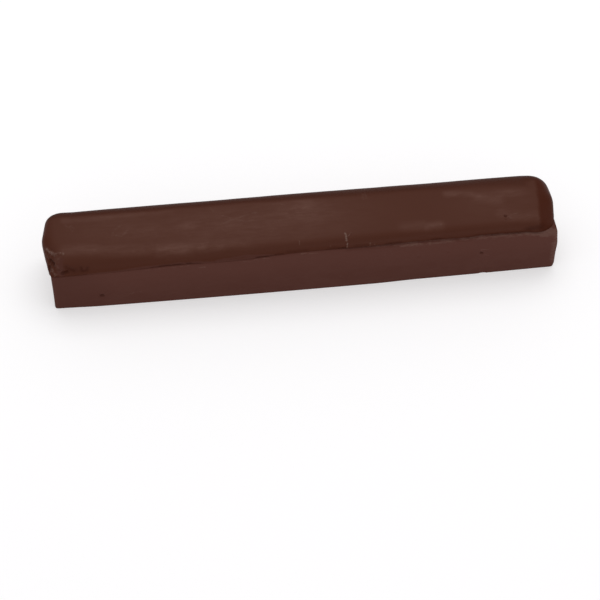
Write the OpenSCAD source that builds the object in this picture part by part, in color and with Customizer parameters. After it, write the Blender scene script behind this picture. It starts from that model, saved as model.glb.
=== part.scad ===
// Furniture repair wax stick: a solid bar of pigmented wax, cast in two pours.
// X runs along the stick, the front is towards -Y and Z is up. The origin is the middle
// of the stick's box, on the resting face. Lengths are in millimetres, angles in degrees.

/* [Stick] */
// Length over both pours
stick_length = 140; // [110:1:180]
// Width at the seam, at mid length
stick_width = 20.75; // [17:0.25:26]
// Height from the resting face to the top
stick_height = 19.6; // [16:0.1:24]
// How far the long walls bow out at mid length
wall_bow = 0.5; // [0:0.1:1.2]

/* [Lower pour] */
// Angle by which the walls lean out from the foot to the seam
wall_draft = 1.2; // [0:0.2:4]
// Radius of the upright corners at the left end
corner_left = 0.8; // [0.4:0.1:3]
// Radius of the upright corner at the front right
corner_front_right = 0.9; // [0.4:0.1:3]
// Radius of the upright corner at the back right
corner_back_right = 4.2; // [0.4:0.1:6]
// How much further the front of the right end stands than its back
end_skew = 0.7; // [0:0.1:1.5]
// Depth of the hollow that the wax cooled to in the resting face
foot_sink = 0.4; // [0.1:0.1:1]
// Width of the flat border round that hollow
foot_border = 2.5; // [1.5:0.5:4]

/* [Upper pour] */
// How far the crown hangs over the lower pour at the left end
overhang_left = 1.5; // [0:0.1:2]
// Ledge of lower pour along the front, at the left end
ledge_front_left = 0.2; // [0.1:0.05:1.5]
// Ledge of lower pour along the front, at the right end
ledge_front_right = 0.6; // [0.1:0.05:1.5]
// Ledge of lower pour along the back
ledge_back = 0.3; // [0.1:0.05:1.5]
// How far the back of the crown bows out at mid length
back_bow = 0.2; // [0:0.1:1.2]
// How far the left end of the crown bows out at mid width
bow_left = 1.1; // [0:0.1:1.5]
// How far the right end of the crown bows out at mid width
bow_right = 0.5; // [0:0.1:1.5]
// Radius of the crown's upright corner at the front left
crown_front_left = 1.5; // [1:0.25:6]
// Radius of the crown's upright corner at the front right
crown_front_right = 4; // [1:0.25:6]
// Radius of the crown's upright corner at the back left
crown_back_left = 3.5; // [1:0.25:7]
// Radius of the crown's upright corner at the back right
crown_back_right = 3.5; // [1:0.25:7]
// Run of the front slope from the wall to the flat of the top, at the left end
front_run_left = 4.25; // [2.5:0.25:6]
// Run of the front slope, from mid length to the right end
front_run_right = 3; // [2.5:0.25:6]
// Radius of the roll at the top of the front slope
front_roll = 2; // [1:0.25:2.5]
// Run of the back shoulder from the wall to the flat of the top, at the left end
back_run_left = 4.25; // [3:0.25:9]
// Run of the back shoulder, at the right end
back_run_right = 7.75; // [3:0.25:9]
// Run of the slope at the left end of the crown
end_run_left = 3.75; // [2:0.25:8]
// Run of the slope at the right end of the crown
end_run_right = 6; // [2:0.25:8]
// Height over which the back and the ends round from the walls to the top
shoulder_drop = 3.5; // [2:0.25:5]

/* [Hidden] */

// Height of the seam at even stations from left to right, as shares of the stick's height
seam_shares = [0.685, 0.705, 0.745, 0.75, 0.81, 0.80, 0.80, 0.775, 0.755];

lower_colour = "#4c2b26";
upper_colour = "#50322a";

// How far a cutting solid runs past what it cuts
overrun = 2;
// Steps of the seam, of the plan's corners and long walls, and of round shapes
seam_steps = 40;
corner_steps = 8;
wall_steps = 14;
dome_facets = 48;
sink_facets = 360;

// The lower pour's plan at the foot, at the middle of the seam and at the stick's full height
block_length = stick_length - overhang_left;
seam_middle = stick_height * (min(seam_shares) + max(seam_shares)) / 2;
foot_inset = seam_middle * tan(wall_draft);
foot_length = block_length - 2 * foot_inset;
foot_width = stick_width - 2 * foot_inset;
full_outset = (stick_height - seam_middle) * tan(wall_draft);
block_x = overhang_left / 2;

// Smooth curve through evenly spaced values, at a share u of the way along them
function through(values, u) =
    let (
        last = len(values) - 1,
        place = min(max(u, 0), 1) * last,
        i = min(floor(place), last - 1),
        t = place - i,
        a = values[max(i - 1, 0)],
        b = values[i],
        c = values[i + 1],
        d = values[min(i + 2, last)]
    )
    b + t * (c - a + t * (2 * a - 5 * b + 4 * c - d + t * (3 * (b - c) + d - a))) / 2;

// Height of the seam at a place along the stick
function seam_height(x) = stick_height * through(seam_shares, x / stick_length + 1 / 2);

// Quarter round of a plan's corner, from the angle start
function corner(x, y, radius, start) = [
    for (i = [0 : corner_steps])
        let (angle = start + 90 * i / corner_steps)
        [x + radius * cos(angle), y + radius * sin(angle)]
];

// Inner points of a plan's long wall, from one end to the other
function wall(from, to, y) = [for (i = [1 : wall_steps - 1]) [from + (to - from) * i / wall_steps, y]];

// Plan of the lower pour: a rectangle with rounded corners, whose long walls bow out
function block_plan(length, width) =
    let (
        left = corner_left - length / 2,
        front_right = length / 2 - corner_front_right,
        back_right = length / 2 - end_skew - corner_back_right,
        square_plan = concat(
            corner(back_right, width / 2 - corner_back_right, corner_back_right, 0),
            wall(back_right, left, width / 2),
            corner(left, width / 2 - corner_left, corner_left, 90),
            corner(left, corner_left - width / 2, corner_left, 180),
            wall(left, front_right, -width / 2),
            corner(front_right, corner_front_right - width / 2, corner_front_right, 270)
        )
    )
    [for (p = square_plan) [p[0], p[1] * (1 - wall_bow * pow(2 * p[0] / length, 2) / (width / 2))]];

// Everything below the seam, wide enough to cut the whole stick
module below_seam() {
    reach = stick_length / 2 + overrun;
    seam = [for (i = [0 : seam_steps]) let (x = reach * (2 * i / seam_steps - 1)) [x, seam_height(x)]];
    rotate([90, 0, 0])
        linear_extrude(height = stick_width + 2 * overrun, center = true)
            polygon(concat(seam, [[reach, -overrun], [-reach, -overrun]]));
}

// Shallow round-ended dish in the resting face, cut by a long capsule that just dips into it
module foot_dish() {
    width = foot_width - 2 * foot_border;
    length = foot_length - 2 * foot_border;
    radius = (pow(width / 2, 2) + pow(foot_sink, 2)) / (2 * foot_sink);
    run = length - width;
    translate([block_x, 0, foot_sink - radius]) {
        rotate([0, 90, 0])
            cylinder(r = radius, h = run, center = true, $fn = sink_facets);
        for (end = [-1, 1])
            translate([end * run / 2, 0, 0])
                sphere(r = radius, $fn = sink_facets);
    }
}

// Straight-walled block of the lower pour, up to the stick's full height
module block_body() {
    translate([block_x, 0, 0])
        linear_extrude(
            height = stick_height,
            scale = [
                (block_length + 2 * full_outset) / foot_length,
                (stick_width + 2 * full_outset) / foot_width
            ]
        )
            polygon(block_plan(foot_length, foot_width));
}

// Round post in the crown's plan
module crown_post(x, y, radius, height) {
    translate([x, y, 0])
        cylinder(r = radius, h = height, $fn = dome_facets);
}

// Swelling of the crown's top, which rolls down by drop over the runs along X and Y
module crest(x, y, run_x, run_y, drop) {
    translate([x, y, stick_height - drop])
        scale([run_x, run_y, drop])
            sphere(r = 1, $fn = dome_facets);
}

// Loaf of the crown: one skin drawn from its plan over the swellings of its top. The front slopes
// up from the seam, and the back and the ends stand up before they round over.
module crown_body() {
    half_width = stick_width / 2;
    left = -stick_length / 2;
    right = stick_length / 2;
    left_corner = left + bow_left;
    right_corner = right - bow_right;
    front_left = half_width - wall_bow - ledge_front_left;
    front_middle = half_width - (ledge_front_left + ledge_front_right) / 2;
    front_right = half_width - wall_bow - ledge_front_right;
    back_middle = half_width - ledge_back;
    back = back_middle - back_bow;
    back_run_middle = (back_run_left + back_run_right) / 2;
    wall_height = stick_height - shoulder_drop;
    hull() {
        crown_post(left_corner + crown_front_left, crown_front_left - front_left, crown_front_left,
            seam_height(left));
        crown_post(0, front_roll - front_middle, front_roll, seam_height(0));
        crown_post(right_corner - crown_front_right, crown_front_right - front_right, crown_front_right,
            seam_height(right));
        crown_post(left_corner + crown_back_left, back - crown_back_left, crown_back_left, wall_height);
        crown_post(right_corner - crown_back_right, back - crown_back_right, crown_back_right, wall_height);
        crown_post(left + end_run_left, 0, end_run_left, wall_height);
        crown_post(right - end_run_right, 0, end_run_right, wall_height);

        crest(left_corner + front_run_left, front_run_left - front_left, front_roll, front_roll, front_roll);
        crest(0, front_run_right - front_middle, front_roll, front_roll, front_roll);
        crest(right_corner - end_run_right, front_run_right - front_right, front_roll, front_roll, front_roll);
        crest(left_corner + back_run_left, back - back_run_left, back_run_left, back_run_left, shoulder_drop);
        crest(0, back_middle - back_run_middle, back_run_middle, back_run_middle, shoulder_drop);
        crest(right_corner - end_run_right, back - back_run_right, end_run_right, back_run_right,
            shoulder_drop);
        crest(left + end_run_left, 0, end_run_left, end_run_left, shoulder_drop);
        crest(right - end_run_right, 0, end_run_right, end_run_right, shoulder_drop);
    }
}

// The straight-walled part that the stick lies on
module lower_pour() {
    color(lower_colour)
        difference() {
            intersection() {
                block_body();
                below_seam();
            }
            foot_dish();
        }
}

// The crown, with rounded shoulders
module upper_pour() {
    color(upper_colour)
        difference() {
            crown_body();
            below_seam();
        }
}

lower_pour();
upper_pour();
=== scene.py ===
"""Furniture repair wax stick: two pours of dark wax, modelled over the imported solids."""
import math

import bmesh
import bpy
import numpy as np
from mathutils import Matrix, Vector
from mathutils.kdtree import KDTree


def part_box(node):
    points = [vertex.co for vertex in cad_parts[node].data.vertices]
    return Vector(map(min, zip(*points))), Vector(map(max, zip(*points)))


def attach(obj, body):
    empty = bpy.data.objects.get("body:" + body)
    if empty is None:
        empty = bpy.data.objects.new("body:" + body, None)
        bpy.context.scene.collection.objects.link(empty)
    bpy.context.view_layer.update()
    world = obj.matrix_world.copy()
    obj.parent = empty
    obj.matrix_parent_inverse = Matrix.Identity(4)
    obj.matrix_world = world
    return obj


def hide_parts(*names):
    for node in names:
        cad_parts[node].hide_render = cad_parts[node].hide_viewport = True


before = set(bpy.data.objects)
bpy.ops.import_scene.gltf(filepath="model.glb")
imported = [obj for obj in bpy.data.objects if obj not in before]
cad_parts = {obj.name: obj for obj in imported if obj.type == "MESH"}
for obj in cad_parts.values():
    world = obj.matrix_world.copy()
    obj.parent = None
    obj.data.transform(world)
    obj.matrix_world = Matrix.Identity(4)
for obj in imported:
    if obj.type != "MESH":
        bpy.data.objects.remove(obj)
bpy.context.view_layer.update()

MM = 0.001

# The two pours' solids and their corners
block_solid, crown_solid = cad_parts["lower_pour"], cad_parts["upper_pour"]
block_low, block_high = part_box("lower_pour")
crown_low, crown_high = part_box("upper_pour")
stick_top = crown_high.z
stick_middle = Vector((0, 0, stick_top / 2))

# Cells that the wax blanks are cut into, and the rounding of their edges
slice_length = 3.6 * MM
cells_per_slice = 5
finer_cuts = 2
block_edge, block_edge_steps = 0.14 * MM, 2
crown_edge, crown_edge_steps = 0.06 * MM, 1
sharp_edge_angle = math.radians(55)

# Radii of the upright corners, in millimetres: front left, front right, back left, back right
block_corners = (0.8, 0.9, 0.8, 4.2)
crown_corners = (1.5, 4, 3.5, 3.5)

# Rays that look for a solid's walls: how far out they start, and the step aside of each new try
ray_start = 0.2
ray_tries = 5
ray_nudge = Vector((0.013, 0.007, 0.011)) * MM

# Digits that places are rounded to, so that vertices in a line share one ray, and those of group weights
seam_digits, wall_digits = 6, 5
weight_digits = 2

# How far the rays keep off the seam's ends, the block's foot, its foot and rim together, the crown's foot
seam_inset = 1 * MM
foot_inset = 0.1 * MM
wall_insets = 0.3 * MM
crown_inset = 0.15 * MM

# Crown's skin: start above the seam, swell that the smoothing takes back, fade of unevenness at the rim
skin_start = 0.5 * MM
skin_swell = 0.15 * MM
smoothing_share = 0.5
smoothing_rounds = 26
rim_fade = 1.2 * MM

# Unevenness of the skins: size of the lumps along each axis in millimetres, and depth
block_swell = ((30, 9, 9), 0.16 * MM)
block_ripple = ((4, 2, 2), 0.03 * MM)
crown_swell = ((30, 6, 6), 0.25 * MM)
crown_ripple = ((6, 2.5, 2.5), 0.05 * MM)
break_lumps = ((2.4, 1.8, 1.8), 0.7 * MM)
break_grit = ((1.0, 0.8, 0.8), 0.3 * MM)

# Highest Y that counts as the front wall
front_limit = -8 * MM

# Block's foot, which stays even, and its rim's painted highlight, fading in along the front from mid length
foot_height = 1 * MM
rim_depth = 1.5 * MM
front_highlight_start, front_highlight_run = 8 * MM, 12 * MM
front_rim_highlight, hind_rim_highlight = 0.72, 0.5

# Block wax that lapped up over the crown's foot: middle, half length and height of each lap, in millimetres
laps = [(-36, 31, 1.1), (-16.5, 11, 1.9)]
lap_fade = 0.6 * MM

# Height of the crown's flat top, in millimetres
flat_top = 19.6

# Spacing of places along a mark, and the least square of a step between them
trace_step = 0.25 * MM
least_square = 1e-15


def deselect_all():
    """Leaves edit mode and lets go of every object."""
    if bpy.context.object and bpy.context.object.mode != "OBJECT":
        bpy.ops.object.mode_set(mode="OBJECT")
    bpy.ops.object.select_all(action="DESELECT")


def take(piece):
    """Makes a piece the only one selected."""
    deselect_all()
    piece.select_set(True)
    bpy.context.view_layer.objects.active = piece


def apply_modifier(piece, kind, **settings):
    """Adds a modifier with its settings and applies it."""
    take(piece)
    modifier = piece.modifiers.new(kind.title(), kind)
    for key, value in settings.items():
        setattr(modifier, key, value)
    bpy.ops.object.modifier_apply(modifier=modifier.name)


def points_of(piece):
    """The places of a piece's vertices, as rows."""
    places = np.empty(len(piece.data.vertices) * 3)
    piece.data.vertices.foreach_get("co", places)
    return places.reshape(-1, 3)


def put_points(piece, places):
    """Moves a piece's vertices to these places."""
    piece.data.vertices.foreach_set("co", np.ascontiguousarray(places).ravel())
    piece.data.update()


def mark_group(piece, name, weights):
    """Names a weighted group of a piece's vertices, for a modifier to work on."""
    weights = np.asarray(weights, float).round(weight_digits)
    group = piece.vertex_groups.new(name=name)
    for weight in np.unique(weights[weights > 0]):
        group.add([int(k) for k in np.flatnonzero(weights == weight)], float(weight), "REPLACE")
    return group.name


def wax_blank(name, low, high):
    """Box of wax between two corners, sliced across and then cut into small cells."""
    deselect_all()
    middle, span = (low + high) / 2, high - low
    bpy.ops.mesh.primitive_cube_add(size=1, location=middle, scale=span)
    blank = bpy.context.object
    blank.name = blank.data.name = name
    bpy.ops.object.transform_apply(location=True, rotation=True, scale=True)
    bpy.ops.object.mode_set(mode="EDIT")
    for axis in range(3):
        slices = max(1, round(span[axis] / slice_length))
        normal = [float(k == axis) for k in range(3)]
        for cut in range(1, slices):
            place = middle.copy()
            place[axis] = low[axis] + span[axis] * cut / slices
            bpy.ops.mesh.select_all(action="SELECT")
            bpy.ops.mesh.bisect(plane_co=place, plane_no=normal)
    bpy.ops.mesh.select_all(action="SELECT")
    bpy.ops.mesh.subdivide(number_cuts=cells_per_slice - 1)
    bpy.ops.object.mode_set(mode="OBJECT")
    return blank


def round_edges(piece, width, steps):
    """Rounds a piece's sharp edges, and halves its cells."""
    apply_modifier(piece, "BEVEL", width=width, segments=steps, limit_method="ANGLE",
                   angle_limit=sharp_edge_angle)
    apply_modifier(piece, "SUBSURF", levels=1, render_levels=1)


def landing(solid, start, way):
    """Where a ray lands on a solid. One that slips between two faces is sent again a little beside it."""
    for tries in range(ray_tries):
        hit, place = solid.ray_cast(start + tries * ray_nudge, way)[:2]
        if hit:
            return place


def seam_along(places):
    """Height of the lower pour's top face, which is the seam, at every vertex of a piece."""
    stations, which = np.unique(places[:, 0].round(seam_digits), return_inverse=True)
    inside = np.clip(stations, block_low.x + seam_inset, block_high.x - seam_inset)
    heights = [landing(block_solid, Vector((x, 0, 2 * stick_top)), (0, 0, -1)).z for x in inside]
    return np.array(heights)[which.ravel()]


def wall(solid, axis, sides, spots, heights):
    """Where a solid's walls stand along an axis, for these sides, spots on the other axis and heights."""
    rays = np.column_stack([sides, spots, heights]).round(wall_digits)
    stations, which = np.unique(rays, axis=0, return_inverse=True)
    found = []
    for side, spot, height in stations:
        start, way = Vector((spot, spot, height)), Vector()
        start[axis], way[axis] = side * ray_start, -side
        found.append(landing(solid, start, way)[axis])
    return np.array(found)[which.ravel()]


def fit_plan(piece, solid, end_heights, side_heights, corners):
    """Draws a blank in to its solid's ends and sides at these heights, and rounds its upright corners."""
    places = points_of(piece)
    low, high = places.min(0), places.max(0)
    half = (high - low) / 2
    out = (places - low) / half - 1
    sides = np.where(out > 0, 1.0, -1.0)
    inner = np.clip(places, low + max(corners) * MM, high - max(corners) * MM)
    ends = wall(solid, 0, sides[:, 0], inner[:, 1], end_heights)
    flanks = wall(solid, 1, sides[:, 1], inner[:, 0], side_heights)
    box_walls = low + half * (1 + sides)
    x = places[:, 0] + (ends - box_walls[:, 0]) * np.abs(out[:, 0])
    y = places[:, 1] + (flanks - box_walls[:, 1]) * np.abs(out[:, 1])
    radius = np.array(corners)[(sides[:, 0] > 0) + 2 * (sides[:, 1] > 0)] * MM
    over_x = np.clip(1 - np.abs(ends - x) / radius, 0, 1)
    over_y = np.clip(1 - np.abs(flanks - y) / radius, 0, 1)
    places[:, 0] = x - sides[:, 0] * radius * over_x * (1 - np.sqrt(1 - over_y ** 2 / 2))
    places[:, 1] = y - sides[:, 1] * radius * over_y * (1 - np.sqrt(1 - over_x ** 2 / 2))
    put_points(piece, places)


def off_rim_share(places):
    """How far up from the seam the crown's vertices are, from 0 at its rim to 1 where the rim's fade ends."""
    return np.clip((places[:, 2] - seam_along(places)) / rim_fade, 0, 1)


def waver(piece, unevenness, group):
    """Lets a group of a skin's vertices rise and sink a little, in lumps."""
    size, depth = unevenness
    deselect_all()
    bpy.ops.object.empty_add()
    gauge = bpy.context.object
    gauge.scale = [length * MM for length in size]
    bpy.context.view_layer.update()
    lumps = bpy.data.textures.new("lumps", "CLOUDS")
    lumps.noise_scale = 1
    lumps.noise_depth = 1
    apply_modifier(piece, "DISPLACE", texture=lumps, texture_coords="OBJECT", texture_coords_object=gauge,
                   strength=depth, mid_level=0.5, vertex_group=group)
    bpy.data.objects.remove(gauge)
    bpy.data.textures.remove(lumps)


def on_top(*spots):
    """A path over the crown's flat top, given by X and Y."""
    return [(x, y, flat_top) for x, y in spots]


def trace(piece, path):
    """Closely spaced places on a skin, along a path given in millimetres near it."""
    corners = [Vector(corner) * MM for corner in path]
    places = corners[:1]
    for start, end in zip(corners, corners[1:]):
        steps = max(1, round((end - start).length / trace_step))
        places += [start.lerp(end, k / steps) for k in range(1, steps + 1)]
    return [piece.closest_point_on_mesh(place)[1] for place in places]


def eased(share):
    """A share held between 0 and 1, that starts and ends gently."""
    share = np.clip(share, 0, 1)
    return share * share * (3 - 2 * share)


def stroke_weights(piece, path, reach):
    """How strongly a soft brush drawn along a path covers each vertex, from 0 to 1."""
    places, line = points_of(piece), np.array(trace(piece, path))
    reach = reach * MM
    near = np.flatnonzero(np.all((places > line.min(0) - reach) & (places < line.max(0) + reach), axis=1))
    nearest = np.full(len(near), np.inf)
    for start, end in zip(line, line[1:]):
        run = end - start
        share = np.clip((places[near] - start) @ run / max(run @ run, least_square), 0, 1)
        nearest = np.minimum(nearest, np.linalg.norm(places[near] - start - share[:, None] * run, axis=1))
    weights = np.zeros(len(places))
    weights[near] = eased(1 - nearest / reach)
    return weights


def oval_weights(places, middle, reaches):
    """How strongly a soft oval covers each place, from 0 to 1."""
    return eased(1 - np.linalg.norm((places / MM - np.array(middle)) / np.array(reaches), axis=1))


def refine(piece, strokes):
    """Cuts the cells under brush strokes into finer ones. A stroke is a path and a reach in millimetres."""
    chosen = np.any([stroke_weights(piece, path, reach) > 0 for path, reach in strokes], axis=0)
    take(piece)
    bpy.ops.object.mode_set(mode="EDIT")
    bpy.ops.mesh.select_mode(type="VERT")
    bpy.ops.mesh.select_all(action="DESELECT")
    skin = bmesh.from_edit_mesh(piece.data)
    skin.verts.ensure_lookup_table()
    for k in np.flatnonzero(chosen):
        skin.verts[k].select_set(True)
    skin.select_flush(True)
    bpy.ops.mesh.subdivide(number_cuts=finer_cuts)
    bpy.ops.object.mode_set(mode="OBJECT")


def push(piece, marks):
    """Pushes a skin as with a thumb or a nail. A mark is a path, a move and the reach it fades out over."""
    take(piece)
    paths = [trace(piece, path) for path, move, reach in marks]
    finder = KDTree(len(piece.data.vertices))
    for k, place in enumerate(points_of(piece)):
        finder.insert(place, k)
    finder.balance()
    bpy.ops.object.mode_set(mode="EDIT")
    bpy.ops.mesh.select_mode(type="VERT")
    for line, (path, move, reach) in zip(paths, marks):
        bpy.ops.mesh.select_all(action="DESELECT")
        skin = bmesh.from_edit_mesh(piece.data)
        skin.verts.ensure_lookup_table()
        for place in line:
            skin.verts[finder.find(place)[1]].select_set(True)
        bpy.ops.transform.translate(value=Vector(move) * MM, use_proportional_edit=True,
                                    proportional_edit_falloff="SMOOTH", proportional_size=reach * MM)
    bpy.ops.object.mode_set(mode="OBJECT")


def paint(piece, name, strokes=(), ovals=(), ground=0.0):
    """Paints a layer of a piece that its wax reads: strokes laid over a ground, and then ovals added."""
    places = points_of(piece)
    cover = np.zeros(len(places)) + ground
    for path, reach, strength in strokes:
        cover = np.maximum(cover, strength * stroke_weights(piece, path, reach))
    for middle, reaches, strength in ovals:
        cover += strength * oval_weights(places, middle, reaches)
    piece.data.attributes.new(name, "FLOAT", "POINT").data.foreach_set("value", np.minimum(cover, 1))


# Lower pour
bpy.context.view_layer.update()
block = wax_blank("wax_block", block_low, block_high)
places = points_of(block)
lowest_seam = seam_along(places).min()
wall_heights = foot_inset + places[:, 2] / block_high.z * (lowest_seam - wall_insets)
fit_plan(block, block_solid, wall_heights, wall_heights, block_corners)
places = points_of(block)
places[:, 2] *= seam_along(places) / block_high.z
put_points(block, places)
apply_modifier(block, "SHRINKWRAP", target=block_solid)
round_edges(block, block_edge, block_edge_steps)
off_foot = mark_group(block, "off_foot", points_of(block)[:, 2] > foot_height)
waver(block, block_swell, off_foot)
waver(block, block_ripple, off_foot)
push(block, [
    # Belly of the front wall along its foot
    ([(-55, -10.1, 0), (20, -10.1, 0)], (0, -0.25, 0), 12),
    # Belly of the right end at the front
    ([(70, -9.8, 2), (70, -9.8, 9)], (0.45, 0, 0), 6),
    ([(70, -9.8, 10), (70, -9.6, 14.7)], (0.2, 0, 0), 6),
    # Rise of the seam at the right
    ([(49, -10, 15.2), (56, -9.8, 15.1), (61, -9.7, 15)], (0, 0, 0.7), 4),
    # Worn edge of the front wall under the crown
    ([(-68, -9.7, 13.4), (-35, -10.2, 14.6), (0, -10.4, 15.9), (10, -10.4, 15.8)], (0, 0.02, -0.04), 0.8),
    ([(12, -10.4, 15.8), (36, -10.3, 15.7), (52, -9.9, 15.2), (69.3, -9.6, 14.8)], (0, 0.2, -0.34), 1.0),
])

# Marks on the block
left_pit = [(-55.3, -9.9, 4.6), (-54.9, -9.9, 4.6)]
right_pit = [(49.1, -10, 9.0), (49.4, -10, 8.9)]
small_pits = [
    [(31.5, -10.2, 10.0), (31.8, -10.2, 10.0)],
    [(39.2, -10.1, 11.2), (39.6, -10.1, 11.1)],
]
hind_pits = [
    [(-36.2, 10.2, 6.8), (-35.8, 10.2, 6.8)],
    [(8.3, 10.4, 10.9), (8.9, 10.4, 10.8)],
    [(39.6, 10.1, 3.7), (40, 10.1, 3.7)],
]
foot_nick = [(49.6, -9.8, 0), (50.4, -9.8, 0)]
swirl = [(-21.3, -9.9, 14.5), (-17.7, -9.9, 14.7), (-15.3, -10.3, 14.2), (-13.4, -10.3, 14.6),
         (-10.3, -10.4, 14.7), (-8.9, -10.4, 14.8)]
block_rubs_and_highlights = [
    # Under the seam, from left to right
    ([(-43, -9.9, 13.8), (-37, -9.9, 14.0), (-31, -10, 14.2)], 0.6, 0.6),
    ([(-28.5, -10.2, 13.1), (-26.8, -10.2, 13.2)], 0.6, 0.7),
    (swirl, 0.7, 0.55),
    ([(-10.7, -10.4, 14.9), (-10.4, -10.4, 14.9)], 0.5, 1.0),
    ([(-0.5, -10.4, 15.4), (4, -10.4, 15.2)], 0.7, 0.7),
    ([(20.5, -10.4, 15.4), (26.5, -10.3, 15.3)], 0.7, 0.6),
    # Along the rim towards the right corner: painted highlight
    ([(27, -10.3, 15.1), (32, -10.3, 15), (37, -10.2, 15.1), (41.5, -10.2, 15)], 1.4, 0.74),
    ([(61, -9.8, 15.2), (66, -9.7, 15.1)], 1.4, 0.9),
    ([(65.5, -9.6, 15.1), (70, -9.6, 14.8)], 2.0, 1.2),
    # Lower on the front wall, from left to right
    ([(-49.8, -9.9, 4.3), (-44.3, -10, 5.0)], 0.7, 0.5),
    ([(10.3, -10.2, 4.5), (10.7, -10.2, 4.5)], 0.7, 0.8),
    ([(13.7, -10.2, 9.4), (15.5, -10.2, 8.9)], 0.6, 0.5),
    ([(13.7, -10.2, 6.9), (14.8, -10.2, 6.4)], 0.6, 0.5),
    ([(22.4, -10.3, 11.8), (22.5, -10.3, 13.9), (24.1, -10.3, 13.9), (24.4, -10.2, 11.6)], 0.6, 0.5),
    ([(49.1, -10, 10.3), (51.1, -10, 10.1)], 0.6, 0.7),
    ([(49.4, -10, 7.9), (51.3, -10, 7.8)], 0.6, 0.6),
    ([(49.1, -9.8, 1.3), (50, -9.9, 3.6)], 0.6, 0.5),
    # Upright edges, and the ends between them; the front right edge is a painted highlight
    ([(69.8, -9.6, 14.3), (69.6, -9.6, 3)], 2.6, 0.7),
    ([(69.2, -3, 6.5), (69.1, 2, 7.4)], 0.8, 0.55),
    ([(68.2, 8.4, 13.5), (68.1, 8.3, 2)], 2.0, 0.45),
    ([(-68.5, 9.7, 13), (-68.3, 9.6, 1)], 1.6, 0.62),
    ([(-68.4, -4, 8.2), (-68.4, 1, 8.6)], 0.8, 0.5),
    # Back wall
    ([(-60, 9.9, 9.5), (-52, 10, 9.1), (-47, 10, 9.4)], 0.8, 0.6),
    ([(-12, 10.4, 4.2), (-4, 10.4, 4.6)], 0.7, 0.55),
    ([(20, 10.3, 12.2), (23.5, 10.3, 11.4), (29, 10.2, 11.6)], 0.8, 0.6),
    ([(46, 10, 5.2), (52, 9.9, 5)], 0.7, 0.5),
]
refine(block, [(left_pit, 1.2), (right_pit, 1.2), (foot_nick, 1.5)] + [(pit, 1.2) for pit in hind_pits])
places = points_of(block)
seam = seam_along(places)
in_front = places[:, 1] < front_limit
front_share = np.clip((places[:, 0] - front_highlight_start) / front_highlight_run, 0, 1)
rim = np.clip(1 - (seam - places[:, 2]) / rim_depth, 0, 1)
rim_highlight = np.maximum(rim * in_front * front_share * front_rim_highlight, rim * ~in_front * hind_rim_highlight)
# Rubbed marks, and painted highlight along the rim and at the front right corner
paint(block, "rub_and_highlight", block_rubs_and_highlights, ground=rim_highlight)
# Pits darkened: dirt and painted shade
paint(block, "dirt_and_shade", [(left_pit, 0.7, 0.45), (right_pit, 0.6, 0.4)] + [(pit, 0.7, 0.4) for pit in hind_pits])
paint(block, "rise", ground=np.clip(places[:, 2] / seam, 0, 1))
push(block, [
    (left_pit, (0, 0.4, 0), 0.8),
    (right_pit, (0, 0.35, 0), 0.6),
    (small_pits[0], (0, 0.15, 0), 0.8),
    (small_pits[1], (0, 0.15, 0), 0.8),
    (foot_nick, (0, 0.14, 0.05), 0.9),
    (swirl, (0, -0.08, 0), 0.8),
] + [(pit, (0, -0.3, 0), 0.7) for pit in hind_pits])

# Upper pour
crown = wax_blank("wax_crown", crown_low, crown_high)
places = points_of(crown)
seam = seam_along(places)
left_seam, right_seam = seam[places[:, 0].argmin()], seam[places[:, 0].argmax()]
end_seam = np.where(places[:, 0] > 0, right_seam, left_seam)
fit_plan(crown, crown_solid, end_seam + crown_inset, seam + crown_inset, crown_corners)
places = points_of(crown)
seam = seam_along(places)
rise = (places[:, 2] - crown_low.z) / (crown_high.z - crown_low.z)
places[:, 2] = seam + rise * (crown_high.z - seam)
put_points(crown, places)
apply_modifier(crown, "SHRINKWRAP", target=crown_solid)
places = points_of(crown)
upper_skin = mark_group(crown, "upper_skin", places[:, 2] > seam_along(places) + skin_start)
apply_modifier(crown, "DISPLACE", strength=skin_swell, mid_level=0, vertex_group=upper_skin)
apply_modifier(crown, "SMOOTH", factor=smoothing_share, iterations=smoothing_rounds, vertex_group=upper_skin)
round_edges(crown, crown_edge, crown_edge_steps)
off_rim = mark_group(crown, "off_rim", off_rim_share(points_of(crown)))
waver(crown, crown_swell, off_rim)
waver(crown, crown_ripple, off_rim)
push(crown, [
    # Belly of the front slope
    ([(-65, -8.1, 16.6), (-40, -8.4, 17.2), (-18, -8.7, 17.5)], (0, -0.6, 0.5), 3.4),
    ([(-15, -8.8, 17.7), (5, -9.0, 18), (35, -8.7, 17.8), (63, -8.0, 17.4)], (0, -0.55, 0.45), 3.0),
    # Lower rim, close to the edge of the block
    ([(-66, -9.6, 13.8), (-35, -10, 14.6), (0, -10, 16), (10, -9.9, 15.8)], (0, -0.14, -0.14), 1.4),
    ([(12, -9.9, 15.8), (40, -9.6, 15.7), (64, -9.0, 15.1), (67.5, -8.3, 15)], (0, -0.06, -0.24), 1.0),
    ([(49, -9.5, 15.5), (61, -9.1, 15.1)], (0, 0, 0.55), 2.5),
    # Foot that runs flush into the block where its wax lapped up
    ([(-58, -9.7, 13.9), (-42, -9.9, 14.4)], (0, -0.1, -0.03), 1.2),
    ([(-27, -10, 14.7), (-20, -10.1, 14.8), (-14, -10.1, 15)], (0, -0.2, -0.06), 1.4),
    ([(-6, -10, 15.6), (2, -10, 15.9), (9, -10, 15.8)], (0, -0.12, -0.03), 1.2),
    # Fuller ends
    ([(70, -6, 17), (69.8, 4, 17)], (0.35, 0, 0), 6),
    ([(66.5, 5, 18.6), (67, 1, 18.8)], (0.25, 0.1, 0.2), 4),
    ([(-68.6, 6, 17.5), (-69.5, 0, 17.5)], (-0.25, 0.1, 0.25), 4),
    ([(-65.5, 7.8, 18.2), (-67.5, 7, 18)], (0, 0.14, 0.14), 5),
    ([(66, 6.5, 18.5), (66.5, 6, 18.5)], (0.15, 0.35, 0.3), 4),
])

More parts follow.
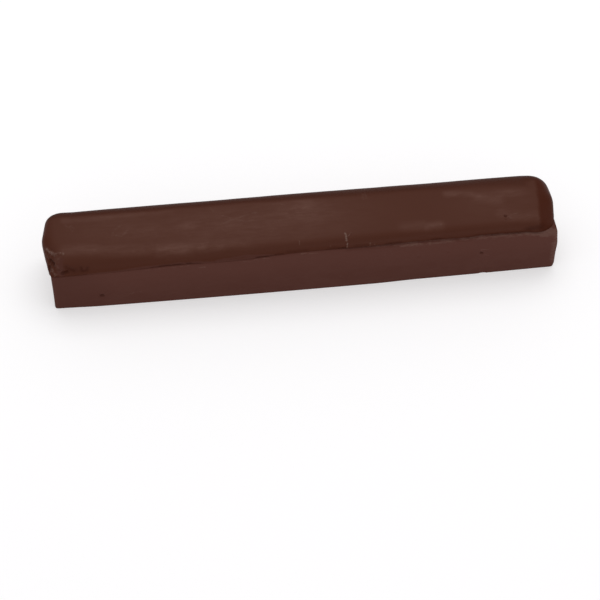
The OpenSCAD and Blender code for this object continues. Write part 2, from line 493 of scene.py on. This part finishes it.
# Broken corner of the crown at the front left, and the pits by it
broken_corner = [(-68.3, -4.5, 16.8), (-66.2, -8.8, 15.0)]
lip = [(-68.6, -3.0, 17.5), (-67.9, -4.3, 17.8), (-66.8, -5.7, 18.2), (-64.4, -6.5, 19.3)]
torn_foot = [(-67.9, -8.6, 14.8), (-67.3, -9.4, 13.9)]
facet = [(-65.8, -7.0, 18.3), (-66.3, -8.8, 15.2)]
facet_smear = [(-65.4, -7.5, 17.6), (-65.8, -9.3, 14.2)]
end_pits = [
    [(-68.1, -5.9, 16.3), (-67.3, -7.4, 16.3)],
    [(-68.6, -7.1, 14.8), (-68.8, -7.7, 14.2)],
]
corner_pit = [(-65.1, -9.2, 14.4), (-63.9, -9.0, 14.9)]
slope_pit = [(-64.0, -8.3, 16.4), (-62.0, -8.9, 15.3)]
ring = [(-60.0, -8.6, 16.0), (-59.9, -9.2, 14.8), (-58.7, -9.2, 14.9), (-58.3, -8.7, 15.9)]

# Curl of shaved wax and flecks on the crown's front slope
curl_arm = [(11.7, -7.9, 19.3), (11.9, -8.8, 18.1)]
curl_branch = [(13.3, -7.9, 19.3), (12.3, -8.6, 18.5)]
curl_stem = [(12.1, -9.1, 17.5), (12.0, -9.8, 16.1)]
slope_flecks = [
    [(18.4, -9.2, 17.1), (18.3, -9.7, 15.9)],
    [(19.7, -9.3, 16.8), (19.6, -9.8, 15.9)],
    [(-0.9, -8.5, 18.8), (-0.9, -8.9, 18.1)],
    [(7.4, -9.3, 17.2), (7.4, -9.4, 16.9)],
]
bright_fleck = [(37.8, -7.5, 19.4), (38, -7.5, 19.4)]

# Painted shade in dashes along the seam, and above it
seam_shade_dashes = [
    [(-38.8, -10, 14.6), (-36.2, -10.1, 14.7)],
    [(-35.4, -10, 14.7), (-33, -10.1, 14.8)],
    [(-31.5, -10.1, 14.8), (-30.5, -10.1, 14.9)],
    [(-12.4, -10.3, 15.1), (-9.4, -10.4, 15.1)],
    [(-7.5, -10.2, 15.6), (-5.5, -10.1, 15.8)],
    [(23, -9.8, 16), (27, -9.8, 16)],
    [(35.5, -9.7, 15.9), (37.8, -9.7, 15.9)],
]
foot_shade = [
    [(-4, -9.8, 16.2), (1, -9.8, 16.2)],
    [(6.5, -9.8, 16.1), (9.5, -9.8, 16.1)],
    [(14.5, -9.8, 16.1), (17.5, -9.8, 16.1)],
]

# Pits and rubbed marks on the crown's top
top_pit = on_top((55.6, -6.5), (55.9, -6.6))
flake_pits = [
    [(56.3, -7.2, 19.4), (56.6, -7.3, 19.4)],
    [(55.6, -7.7, 19.2), (56.0, -7.8, 19.2)],
    [(56.9, -7.9, 19.1), (57.1, -7.8, 19.1)],
]
rub_marks = [
    on_top((-51, -1.3), (-49.7, 0.6), (-48.4, 1.6)),
    on_top((-46.9, -0.6), (-48.5, -2.4), (-51, -1.9)),
    on_top((-20.6, 1.9), (-17.7, 0.4), (-11.5, 2.1)),
    on_top((-20.7, -0.7), (-17.7, 0.4), (-14.3, -1.1)),
    on_top((-6.9, 4.5), (-5.1, 4.8), (-3.8, 4.1)),
    on_top((-23.7, 5.2), (-23.1, 3.6)),
    on_top((-63.5, 3.3), (-61.6, 0.8)),
    on_top((-62, 2.7), (-61.2, 1.7)),
    [(17.9, 6.1, 19.3), (18.1, 3.9, flat_top)],
    [(18.9, 6.0, 19.3), (19, 4, flat_top)],
    [(56.2, -6.9, 19.5), (57.4, -7.4, 19.3)],
    [(56.8, -6.7, 19.5), (59.4, -5.9, flat_top)],
]

# Hazy bloom on the crown, as strokes and as wide soft ovals; strokes on the front roll add painted highlight
bloom_and_highlight_strokes = [
    # Along the back of the top
    (on_top((-63.6, 4.9), (-59.3, 4.7), (-55.2, 4.7), (-50, 5)), 1.7, 0.36),
    (on_top((-50, 5), (-42, 5.2)), 1.8, 0.28),
    (on_top((-42, 5.2), (-34, 5.6)), 2.2, 0.17),
    (on_top((41, 3.1), (43.5, 2.9), (47.1, 2.4), (49.7, 1.3)), 1.9, 0.44),
    (on_top((49.7, 0.8), (52.5, 0), (54.5, -1)), 3.2, 0.25),
    # Along the roll at the front, where it starts to turn down: bloom and a painted highlight
    ([(-64, -5.7, 19.5), (-60.4, -5.8, 19.5), (-54.5, -6.6, 19.2), (-46, -7.3, 19), (-40, -7.6, 18.9)],
     2.8, 0.36),
    ([(-38.5, -8, 18.8), (-33.3, -8.4, 18.6), (-30, -8.3, 18.7)], 3.4, 0.6),
    ([(-30, -8.3, 18.7), (-26.5, -8.3, 18.7)], 3.2, 0.46),
    ([(-26.5, -8.3, 18.7), (-22, -8.4, 18.8)], 2.8, 0.34),
    ([(-22, -8.4, 18.8), (-15, -8.5, 18.8)], 2.4, 0.2),
    ([(28, -7.4, 19.4), (33, -7.5, 19.3)], 2.8, 0.27),
    ([(34, -8, 19.1), (37.5, -7.8, 19.2)], 2.4, 0.44),
    ([(55, -5.5, 19.5), (58, -6.7, 19.4), (61, -7.2, 19.3), (65, -7, 19.1)], 2.8, 0.28),
]
bloom_ovals = [
    ((-14, -1.5, flat_top), (50, 14, 8), 0.36),
    ((54, -1, flat_top), (20, 12, 8), 0.14),
    ((-52, 1, flat_top), (18, 9, 8), 0.17),
    ((1, 2.8, flat_top), (9, 6, 5), 0.34),
    ((58.5, 1.6, flat_top), (7, 2.6, 5), 0.36),
    ((-30.6, -1.4, flat_top), (5, 3, 5), 0.22),
    ((-57, -5.8, 19.5), (4, 2.5, 4), 0.16),
    ((-42.5, -1.4, flat_top), (9, 3, 5), 0.14),
    ((5.5, -0.3, flat_top), (8, 5, 5), 0.14),
]
# Painted shade at the crown's foot by the seam
foot_shade_ovals = [
    ((62.6, -8.8, 16.6), (3.2, 2.0, 1.6), 0.8),
    ((65.4, -8.7, 16.2), (2.4, 2, 1.6), 0.5),
    ((-61.5, -8.9, 15.2), (6, 2, 2.4), 0.3),
]
refine(crown, [
    (broken_corner, 4.5), (curl_arm, 0.9), (curl_branch, 0.9), (curl_stem, 0.9), (flake_pits[0], 2.0),
] + [(fleck, 0.8) for fleck in slope_flecks])
break_share = stroke_weights(crown, broken_corner, 3.6)
rough = mark_group(crown, "rough", break_share * off_rim_share(points_of(crown)))
waver(crown, break_lumps, rough)
waver(crown, break_grit, rough)
paint(crown, "bloom_and_highlight", bloom_and_highlight_strokes, bloom_ovals)
paint(crown, "rub_and_highlight", [(mark, 0.9, 0.68) for mark in rub_marks] + [(facet, 1.8, 0.6)])
paint(crown, "torn", [
    (lip[:3], 1.2, 0.76), (lip[2:], 1.1, 0.6), (torn_foot, 1.7, 0.58), (bright_fleck, 0.7, 0.6),
    (curl_arm, 0.62, 1.0), (curl_branch, 0.4, 0.52), (curl_stem, 0.45, 0.8),
] + [(fleck, 0.45, 0.56) for fleck in slope_flecks])
# Darkened pits, broken end, seam and crown's foot: dirt and painted shade
paint(crown, "dirt_and_shade", [
    (end_pits[0], 1.1, 0.62), (end_pits[1], 1.0, 0.55), (corner_pit, 0.9, 0.5), (ring, 0.7, 0.4),
    (slope_pit, 1.2, 0.3), (top_pit, 0.5, 0.55),
] + [(gap, 0.6, 0.5) for gap in seam_shade_dashes] + [(shade, 1.0, 0.3) for shade in foot_shade], foot_shade_ovals)
places = points_of(crown)
seam = seam_along(places)
paint(crown, "rise", ground=np.clip((places[:, 2] - seam) / (stick_top - seam), 0, 1))
lap_height = np.max([height * MM * np.clip(1 - ((places[:, 0] / MM - middle) / half) ** 2, 0, 1)
                     for middle, half, height in laps], axis=0)
lapped = np.clip((lap_height - places[:, 2] + seam) / lap_fade, 0, 1) * (lap_height > 0)
paint(crown, "smear", [(facet_smear, 2.2, 1.0)], ground=lapped * (places[:, 1] < front_limit))
push(crown, [
    (lip, (-0.1, -0.1, 0.25), 0.8),
    (end_pits[0], (0.5, 0.3, 0), 0.9),
    (end_pits[1], (0.4, 0.4, 0), 0.9),
    (corner_pit, (0, 0.4, 0), 0.8),
    (ring, (0, 0.12, -0.1), 0.6),
    (slope_pit, (0, 0.15, -0.12), 0.9),
    (curl_arm, (0, -0.2, 0.2), 0.35),
    (curl_branch, (0, -0.12, 0.12), 0.3),
    (curl_stem, (0, -0.2, 0.12), 0.35),
    (top_pit, (0, 0, -0.25), 0.55),
    (flake_pits[0], (0, 0, -0.14), 0.5),
    (flake_pits[1], (0, 0, -0.16), 0.5),
    (flake_pits[2], (0, 0, -0.12), 0.45),
])

for piece in (block, crown):
    take(piece)
    bpy.ops.object.shade_smooth()

# Colours of the waxes
pale_wax = (0.22, 0.14, 0.115, 1)
lapped_wax = (0.079, 0.0275, 0.0200, 1)
clear_crown = (0.066, 0.018, 0.0092, 1)
hazy_lit_crown = (0.122, 0.055, 0.041, 1)
shaded_roll_crown = (0.049, 0.0122, 0.0056, 1)
shaded_end_crown = (0.058, 0.0125, 0.0052, 1)
dark_crown = (0.034, 0.0055, 0.0015, 1)
deep_block = (0.080, 0.0273, 0.0197, 1)
light_block = (0.086, 0.0313, 0.0232, 1)
lit_rim_block = (0.090, 0.0320, 0.0236, 1)
left_block = (0.076, 0.0258, 0.0185, 1)
dark_block = (0.030, 0.006, 0.0025, 1)

# Sheen and fine grain of the waxes
wax_shine = 0.05
crown_roughness, crown_grain = 0.5, 1.2 * MM
block_roughness, block_grain = 0.6, 1.0 * MM
grain_depth = 0.03 * MM

# Streaks of haze: length and width in millimetres, and the levels of noise that they fade in between
end_streaks = (4, 3, 0.2, 0.8)
cloud_streaks = (9, 4, 0.3, 0.7)
fine_streaks = (4, 0.9, 0.3, 0.7)
block_mottle = (8, 4, 0.3, 0.7)

# Worn layers: name, length and width of the flecks in millimetres, strength, and the wax that shows
crown_wear = [
    ("smear", (4, 1.2), 0.8, lapped_wax),
    ("rub_and_highlight", (1.2, 0.7), 0.12, pale_wax),
    ("torn", (0.9, 0.6), 0.6, pale_wax),
]
# The block's rub layer also holds the painted highlight along its rim
block_wear = [("rub_and_highlight", (1.6, 0.8), 0.26, pale_wax)]

# How noise breaks up a painted layer: its middle, how far it swings the layer, and the cover that shows
noise_middle, wear_swing, wear_cover = 0.5, 1.6, (0.35, 1.0)

# Crown's haze, bloom and painted top light: ranges of facing, rise and place in which it comes and goes
level_facing, drape_rise = (0.2, 0.98), (0.0, 0.9)
back_facing, corner_facing = (0.02, 0.24), (0.25, 0.95)
left_fade = (-69.5 * MM, -66 * MM)
right_fade, right_sway, right_slant = (65.4 * MM, 67.0 * MM), 0.7 * MM, 0.072
veil_fade, veil_shares = (8 * MM, 24 * MM), (0.25, 0.22)
half_share = 0.5

# Crown's bloom and painted highlight: the share that is even, its flecks' length and width in mm, and their
# share
bloom_ground = 0.35
bloom_flecks, fleck_share = (2.2, 1.0), 0.25

# Painted shade: a darker roll along the crown's back, and on its right end
roll_facing, roll_heights, roll_shares = (0.06, 0.40), (15 * MM, 19 * MM), (0.3, 1.0)
end_shade_share = 0.9

# Block's front lighter towards its top rim, a painted highlight, and its darker left end
lit_rim_rise = (0.3, 0.85)
left_dark = (-68 * MM, -48 * MM)


def feed(tree, socket, value):
    """Links a socket from another one, or sets it to a plain value."""
    if isinstance(value, bpy.types.NodeSocket):
        tree.links.new(value, socket)
    else:
        socket.default_value = value


def node(tree, kind, inputs=None, **settings):
    """Places a shader node. Inputs are plain values, or sockets to link from."""
    made = tree.nodes.new("ShaderNode" + kind)
    for key, value in settings.items():
        setattr(made, key, value)
    for key, value in (inputs or {}).items():
        feed(tree, made.inputs[key], value)
    return made


def reckon(tree, operation, first, second):
    """Works out one value from two others."""
    return node(tree, "Math", {0: first, 1: second}, operation=operation).outputs[0]


def plus(tree, first, second):
    """The sum of two values."""
    return reckon(tree, "ADD", first, second)


def less(tree, first, second):
    """The first value less the second."""
    return reckon(tree, "SUBTRACT", first, second)


def times(tree, first, second):
    """The product of two values."""
    return reckon(tree, "MULTIPLY", first, second)


def fade(tree, value, span, shares=(0.0, 1.0), way="SMOOTHSTEP"):
    """Maps a value that crosses a span to shares, softly or in another way."""
    return node(tree, "MapRange", {"Value": value, "From Min": span[0], "From Max": span[1],
                                   "To Min": shares[0], "To Max": shares[1]},
                interpolation_type=way).outputs[0]


def mix_colour(tree, share, first, second):
    """A colour between two others."""
    made = node(tree, "Mix", data_type="RGBA")
    sockets = {socket.identifier: socket for socket in made.inputs}
    for key, value in (("Factor_Float", share), ("A_Color", first), ("B_Color", second)):
        feed(tree, sockets[key], value)
    return next(socket for socket in made.outputs if socket.identifier == "Result_Color")


def parted(tree, kind):
    """The X, Y and Z of one kind of a piece's own coordinates."""
    return node(tree, "SeparateXYZ", {0: node(tree, "TexCoord").outputs[kind]}).outputs


def new_group(name, output, **inputs):
    """Starts a shader node group with named inputs and one output."""
    group = bpy.data.node_groups.new(name, "ShaderNodeTree")
    for label, value in inputs.items():
        socket = group.interface.new_socket(label, in_out="INPUT", socket_type="NodeSocketFloat")
        socket.default_value = value
    group.interface.new_socket(output, in_out="OUTPUT", socket_type="NodeSocketFloat")
    return group, group.nodes.new("NodeGroupInput").outputs, group.nodes.new("NodeGroupOutput").inputs


def drawn_noise(group, given, detail, roughness, distortion):
    """Noise drawn out along the stick, in lumps of a group's length and width."""
    place = node(group, "TexCoord").outputs["Object"]
    length, width = given["Length"], given["Width"]
    size = node(group, "CombineXYZ", {"X": length, "Y": width, "Z": width}).outputs[0]
    scaled = node(group, "VectorMath", {0: place, 1: size}, operation="DIVIDE").outputs[0]
    return node(group, "TexNoise", {"Vector": scaled, "Scale": 1.0, "Detail": detail, "Roughness": roughness,
                                    "Distortion": distortion}).outputs[0]


def make_streaks():
    """Hazy streaks that run along the stick."""
    group, given, out = new_group("haze_streaks", "Mask", Length=30 * MM, Width=4 * MM, Low=0.4, High=0.7)
    noise = drawn_noise(group, given, detail=5.0, roughness=0.6, distortion=0.4)
    feed(group, out["Mask"], fade(group, noise, (given["Low"], given["High"])))
    return group


def make_wear():
    """Breaks a painted layer up into irregular flecks."""
    group, given, out = new_group("broken_wear", "Mask", Paint=0.0, Length=2 * MM, Width=1 * MM)
    noise = drawn_noise(group, given, detail=4.0, roughness=0.65, distortion=0.6)
    swing = times(group, less(group, noise, noise_middle), wear_swing)
    feed(group, out["Mask"], fade(group, plus(group, given["Paint"], swing), wear_cover))
    return group


def make_skin():
    """Fine unevenness of cast wax, for bump."""
    group, given, out = new_group("wax_skin", "Height", Grain=0.8 * MM)
    fineness = reckon(group, "DIVIDE", 1.0, given["Grain"])
    place = node(group, "TexCoord").outputs["Object"]
    fine = node(group, "VectorMath", {0: place, "Scale": fineness}, operation="SCALE").outputs[0]
    noise = node(group, "TexNoise", {"Vector": fine, "Scale": 1.0, "Detail": 3.0}).outputs[0]
    feed(group, out["Height"], noise)
    return group


streaks, wear, skin = make_streaks(), make_wear(), make_skin()


def layer(tree, name):
    """Reads a painted layer of the piece."""
    return node(tree, "Attribute", attribute_name=name).outputs["Fac"]


def streaky(tree, look):
    """Hazy streaks of one of the looks above."""
    length, width, low, high = look
    return node(tree, "Group", {"Length": length * MM, "Width": width * MM, "Low": low, "High": high},
                node_tree=streaks).outputs["Mask"]


def worn(tree, name, flecks):
    """A painted layer, broken up into flecks of a length and width."""
    length, width = flecks
    return node(tree, "Group", {"Paint": layer(tree, name), "Length": length * MM, "Width": width * MM},
                node_tree=wear).outputs["Mask"]


def new_finish(name, settings):
    """Starts a material with plain values on its shader."""
    finish = bpy.data.materials.new(name)
    finish.use_nodes = True
    shader = finish.node_tree.nodes["Principled BSDF"]
    for label, value in settings.items():
        shader.inputs[label].default_value = value
    return finish


def dress(tree, colour, worn_layers, dark, grain):
    """Lays wear, dirt and painted light over a wax's colour, and links it and the wax's fine grain to the
    shader.
    """
    shader = tree.nodes["Principled BSDF"]
    for name, flecks, strength, shown in worn_layers:
        colour = mix_colour(tree, times(tree, worn(tree, name, flecks), strength), colour, shown)
    colour = mix_colour(tree, layer(tree, "dirt_and_shade"), colour, dark)
    feed(tree, shader.inputs["Base Color"], colour)
    height = node(tree, "Group", {"Grain": grain}, node_tree=skin).outputs["Height"]
    bump = node(tree, "Bump", {"Height": height, "Distance": grain_depth, "Strength": 1.0}).outputs[0]
    feed(tree, shader.inputs["Normal"], bump)


# Upper wax
upper_wax = new_finish("upper_wax", {"Specular IOR Level": wax_shine, "Roughness": crown_roughness})
tree = upper_wax.node_tree
place, facing = parted(tree, "Object"), parted(tree, "Normal")
# Haze on upward-facing areas and high on the slope: bloom, and painted light on the top
level = fade(tree, facing["Z"], level_facing, way="LINEAR")
drape = fade(tree, layer(tree, "rise"), drape_rise, way="LINEAR")
flat = plus(tree, times(tree, level, half_share), times(tree, drape, half_share))
back_turn = fade(tree, facing["Y"], back_facing)
# The crown's right end roll, which gets painted shade and less haze
end_line = plus(tree, place["X"], times(tree, streaky(tree, end_streaks), right_sway))
end_line = less(tree, end_line, times(tree, place["Y"], right_slant))
end_shade = times(tree, fade(tree, end_line, right_fade), fade(tree, facing["Y"], corner_facing, (1.0, 0.0)))
flat = times(tree, flat, less(tree, 1.0, reckon(tree, "MAXIMUM", back_turn, end_shade)))
flat = times(tree, flat, fade(tree, place["X"], left_fade))
clouds, fine = streaky(tree, cloud_streaks), streaky(tree, fine_streaks)
broken = plus(tree, times(tree, clouds, half_share), times(tree, fine, half_share))
# Bloom, with the painted highlight along the front roll
bloom_and_highlight = times(tree, layer(tree, "bloom_and_highlight"), plus(tree, bloom_ground, broken))
bloom_and_highlight = plus(tree, bloom_and_highlight, times(tree, worn(tree, "bloom_and_highlight", bloom_flecks), fleck_share))
veil = fade(tree, place["X"], veil_fade, veil_shares)
haze_and_top_light = times(tree, flat, plus(tree, veil, bloom_and_highlight))
# Painted shade where the crown rolls away to the back
roll = times(tree, fade(tree, facing["Y"], roll_facing), fade(tree, place["Z"], roll_heights, roll_shares))
colour = mix_colour(tree, haze_and_top_light, clear_crown, hazy_lit_crown)
colour = mix_colour(tree, roll, colour, shaded_roll_crown)
# Painted shade on the crown's right end
colour = mix_colour(tree, times(tree, end_shade, end_shade_share), colour, shaded_end_crown)
dress(tree, colour, crown_wear, dark_crown, crown_grain)

# Lower wax
lower_wax = new_finish("lower_wax", {"Specular IOR Level": wax_shine, "Roughness": block_roughness})
tree = lower_wax.node_tree
place = parted(tree, "Object")
colour = mix_colour(tree, streaky(tree, block_mottle), deep_block, light_block)
# Painted highlight: the block lighter towards its top rim
colour = mix_colour(tree, fade(tree, layer(tree, "rise"), lit_rim_rise), colour, lit_rim_block)
colour = mix_colour(tree, fade(tree, place["X"], left_dark, (1.0, 0.0)), colour, left_block)
dress(tree, colour, block_wear, dark_block, block_grain)

for piece, node_name, slot, material in ((block, "lower_pour", "lower_wax", lower_wax),
                                         (crown, "upper_pour", "upper_wax", upper_wax)):
    piece.data.materials.append(material)
    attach(piece, "root")
    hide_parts(node_name)


def aim_at(thing, target):
    """Turns a lamp or camera to face a place."""
    thing.rotation_euler = (target - thing.location).to_track_quat("-Z", "Y").to_euler()


# Stage
white = (1, 1, 1, 1)
floor_size = 4
floor_drop = 0.05 * MM
world_strength = 0.675
lamp_place = (0.08, 0.27, 0.76)
lamp_size = (0.65, 0.45)
lamp_power = 1.62
pale_floor = new_finish("pale_floor", {
    "Base Color": (0.645, 0.635, 0.645, 1), "Roughness": 0.9, "Specular IOR Level": 0.0,
    "Emission Color": white, "Emission Strength": 0.455,
})
deselect_all()
bpy.ops.mesh.primitive_plane_add(size=floor_size, location=(0, 0, -floor_drop))
floor = bpy.context.object
floor.name = "floor"
floor.data.materials.append(pale_floor)

scene = bpy.context.scene
scene.view_settings.view_transform = "Standard"
scene.world = bpy.data.worlds.new("studio")
scene.world.use_nodes = True
surround = scene.world.node_tree.nodes["Background"]
surround.inputs["Color"].default_value = white
surround.inputs["Strength"].default_value = world_strength

bpy.ops.object.light_add(type="AREA", location=lamp_place)
lamp = bpy.context.object
lamp.name = "overhead"
lamp.data.shape = "RECTANGLE"
lamp.data.size, lamp.data.size_y = lamp_size
lamp.data.energy = lamp_power
aim_at(lamp, stick_middle)

# Camera
view_turn = math.radians(-6.32)
view_rise = math.radians(48.98)
view_distance = 0.7189
camera_lens = 156.8
sensor_width = 36
photo_side = 600
stick_middle_px = (299.0, 238.5)
towards = Vector((math.sin(view_turn) * math.cos(view_rise), -math.cos(view_turn) * math.cos(view_rise),
                  math.sin(view_rise)))
rightwards = Vector((0, 0, 1)).cross(towards).normalized()
upwards = towards.cross(rightwards)
pixel = view_distance * sensor_width / camera_lens / photo_side
aim = stick_middle + pixel * ((photo_side / 2 - stick_middle_px[0]) * rightwards
                              - (photo_side / 2 - stick_middle_px[1]) * upwards)
bpy.ops.object.camera_add(location=stick_middle + view_distance * towards)
camera = bpy.context.object
camera.data.lens = camera_lens
camera.data.sensor_width = sensor_width
aim_at(camera, aim)
scene.camera = camera
